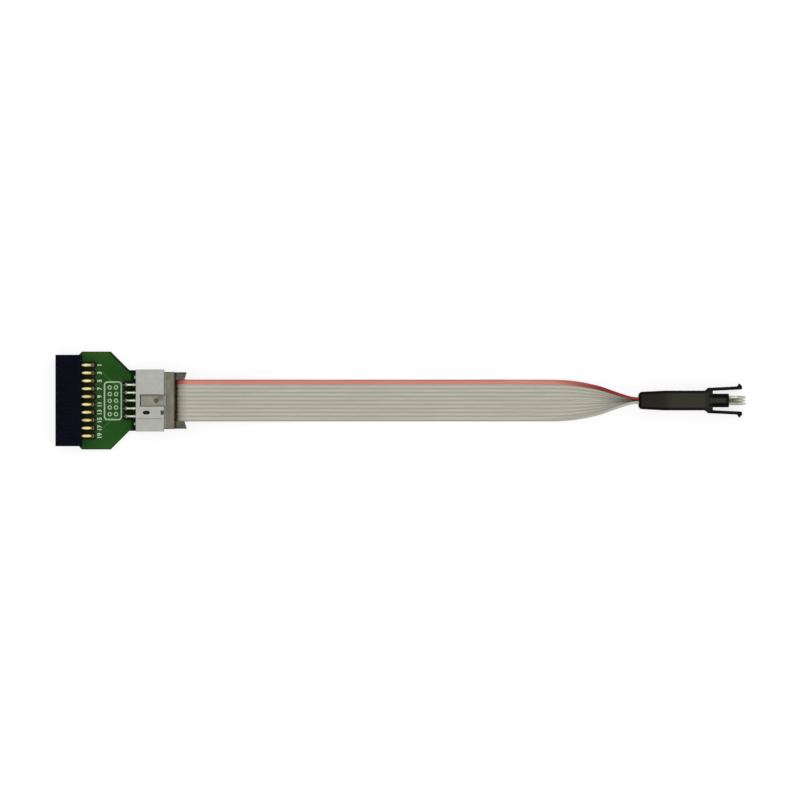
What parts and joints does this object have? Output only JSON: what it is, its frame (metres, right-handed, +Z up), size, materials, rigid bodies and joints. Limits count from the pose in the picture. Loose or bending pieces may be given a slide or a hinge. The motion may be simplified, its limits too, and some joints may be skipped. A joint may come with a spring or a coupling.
{
  "type": "debug needle adapter",
  "caption": "Small board with a right-angle socket and a keyed box header, joined by a flat ribbon lead to a spring-needle head with guide pins and latch legs.",
  "frame": {"origin": "middle of the outline on the surface that the adapter lies on", "axes": "+X from the socket to the needles along the lead, +Y across the board, +Z up"},
  "size_m": [0.2224, 0.0316, 0.012],
  "materials": {
    "board_green": "glass-fibre board under a green solder mask",
    "socket_black": "moulded, faint sheen",
    "contact_gold": "thin gold plating",
    "solder": "bright solder",
    "header_grey": "moulded light grey",
    "pin_tin": "tin plated",
    "idc_grey": "moulded mid grey",
    "relief_grey": "moulded dark grey",
    "ribbon_grey": "soft vinyl with one red edge conductor",
    "shell_black": "fine-textured moulding",
    "leg_black": "moulded, slightly glossy",
    "pin_steel": "ground steel",
    "probe_gold": "worn gold plating",
    "lead_copper": "tinned copper strands"
  },
  "bodies": {
    "adapter": {"adapter_pcb": "board_green", "socket_housing": "socket_black", "socket_contacts_upper": "contact_gold", "socket_contacts_lower": "contact_gold", "solder_joints": "solder", "header_shroud": "header_grey", "header_pins_upper": "pin_tin", "header_pins_lower": "pin_tin"},
    "cable": {"idc_housing": "idc_grey", "idc_contacts": "contact_gold", "idc_cover": "idc_grey", "strain_relief": "relief_grey", "ribbon_cable": "ribbon_grey", "plug_shell": "shell_black", "leg_collar": "leg_black", "needle_block": "leg_black", "guide_pins": "pin_steel", "probe_barrels": "probe_gold", "probe_leads": "lead_copper", "probe_spring_1": "pin_steel", "probe_spring_2": "pin_steel", "probe_spring_3": "pin_steel", "probe_spring_4": "pin_steel", "probe_spring_5": "pin_steel", "probe_spring_6": "pin_steel", "probe_spring_7": "pin_steel", "probe_spring_8": "pin_steel", "probe_spring_9": "pin_steel", "probe_spring_10": "pin_steel"},
    "plunger_1": {"probe_plunger_1": "probe_gold"},
    "plunger_2": {"probe_plunger_2": "probe_gold"},
    "plunger_3": {"probe_plunger_3": "probe_gold"},
    "plunger_4": {"probe_plunger_4": "probe_gold"},
    "plunger_5": {"probe_plunger_5": "probe_gold"},
    "plunger_6": {"probe_plunger_6": "probe_gold"},
    "plunger_7": {"probe_plunger_7": "probe_gold"},
    "plunger_8": {"probe_plunger_8": "probe_gold"},
    "plunger_9": {"probe_plunger_9": "probe_gold"},
    "plunger_10": {"probe_plunger_10": "probe_gold"},
    "leg_1": {"latch_leg_1": "leg_black"},
    "leg_2": {"latch_leg_2": "leg_black"},
    "leg_3": {"latch_leg_3": "leg_black"},
    "leg_4": {"latch_leg_4": "leg_black"}
  },
  "joints": [
    {"name": "unplug", "type": "slide", "parent": "adapter", "child": "cable", "axis": [1, 0, 0], "range_m": [0, 0.008]},
    {"name": "needle_press_1", "type": "slide", "parent": "cable", "child": "plunger_1", "axis": [-1, 0, 0], "range_m": [0, 0.0025], "stiffness_N_per_m": 300, "springref_m": -0.0007, "deforming": ["probe_spring_1"]},
    {"name": "needle_press_2", "type": "slide", "parent": "cable", "child": "plunger_2", "axis": [-1, 0, 0], "range_m": [0, 0.0025], "stiffness_N_per_m": 300, "springref_m": -0.0007, "deforming": ["probe_spring_2"]},
    {"name": "needle_press_3", "type": "slide", "parent": "cable", "child": "plunger_3", "axis": [-1, 0, 0], "range_m": [0, 0.0025], "stiffness_N_per_m": 300, "springref_m": -0.0007, "deforming": ["probe_spring_3"]},
    {"name": "needle_press_4", "type": "slide", "parent": "cable", "child": "plunger_4", "axis": [-1, 0, 0], "range_m": [0, 0.0025], "stiffness_N_per_m": 300, "springref_m": -0.0007, "deforming": ["probe_spring_4"]},
    {"name": "needle_press_5", "type": "slide", "parent": "cable", "child": "plunger_5", "axis": [-1, 0, 0], "range_m": [0, 0.0025], "stiffness_N_per_m": 300, "springref_m": -0.0007, "deforming": ["probe_spring_5"]},
    {"name": "needle_press_6", "type": "slide", "parent": "cable", "child": "plunger_6", "axis": [-1, 0, 0], "range_m": [0, 0.0025], "stiffness_N_per_m": 300, "springref_m": -0.0007, "deforming": ["probe_spring_6"]},
    {"name": "needle_press_7", "type": "slide", "parent": "cable", "child": "plunger_7", "axis": [-1, 0, 0], "range_m": [0, 0.0025], "stiffness_N_per_m": 300, "springref_m": -0.0007, "deforming": ["probe_spring_7"]},
    {"name": "needle_press_8", "type": "slide", "parent": "cable", "child": "plunger_8", "axis": [-1, 0, 0], "range_m": [0, 0.0025], "stiffness_N_per_m": 300, "springref_m": -0.0007, "deforming": ["probe_spring_8"]},
    {"name": "needle_press_9", "type": "slide", "parent": "cable", "child": "plunger_9", "axis": [-1, 0, 0], "range_m": [0, 0.0025], "stiffness_N_per_m": 300, "springref_m": -0.0007, "deforming": ["probe_spring_9"]},
    {"name": "needle_press_10", "type": "slide", "parent": "cable", "child": "plunger_10", "axis": [-1, 0, 0], "range_m": [0, 0.0025], "stiffness_N_per_m": 300, "springref_m": -0.0007, "deforming": ["probe_spring_10"]},
    {"name": "leg_flex_1", "type": "hinge", "parent": "cable", "child": "leg_1", "pos_m": [0.09955, 0.00355, 0.0073], "axis": [0, 0, -1], "range_deg": [0, 8], "stiffness_Nm_per_rad": 0.1},
    {"name": "leg_flex_2", "type": "hinge", "parent": "cable", "child": "leg_2", "pos_m": [0.09955, 0.00355, 0.00159], "axis": [0, 0, -1], "range_deg": [0, 8], "stiffness_Nm_per_rad": 0.1},
    {"name": "leg_flex_3", "type": "hinge", "parent": "cable", "child": "leg_3", "pos_m": [0.09955, -0.00355, 0.0073], "axis": [0, 0, 1], "range_deg": [0, 8], "stiffness_Nm_per_rad": 0.1},
    {"name": "leg_flex_4", "type": "hinge", "parent": "cable", "child": "leg_4", "pos_m": [0.09955, -0.00355, 0.00159], "axis": [0, 0, 1], "range_deg": [0, 8], "stiffness_Nm_per_rad": 0.1}
  ]
}
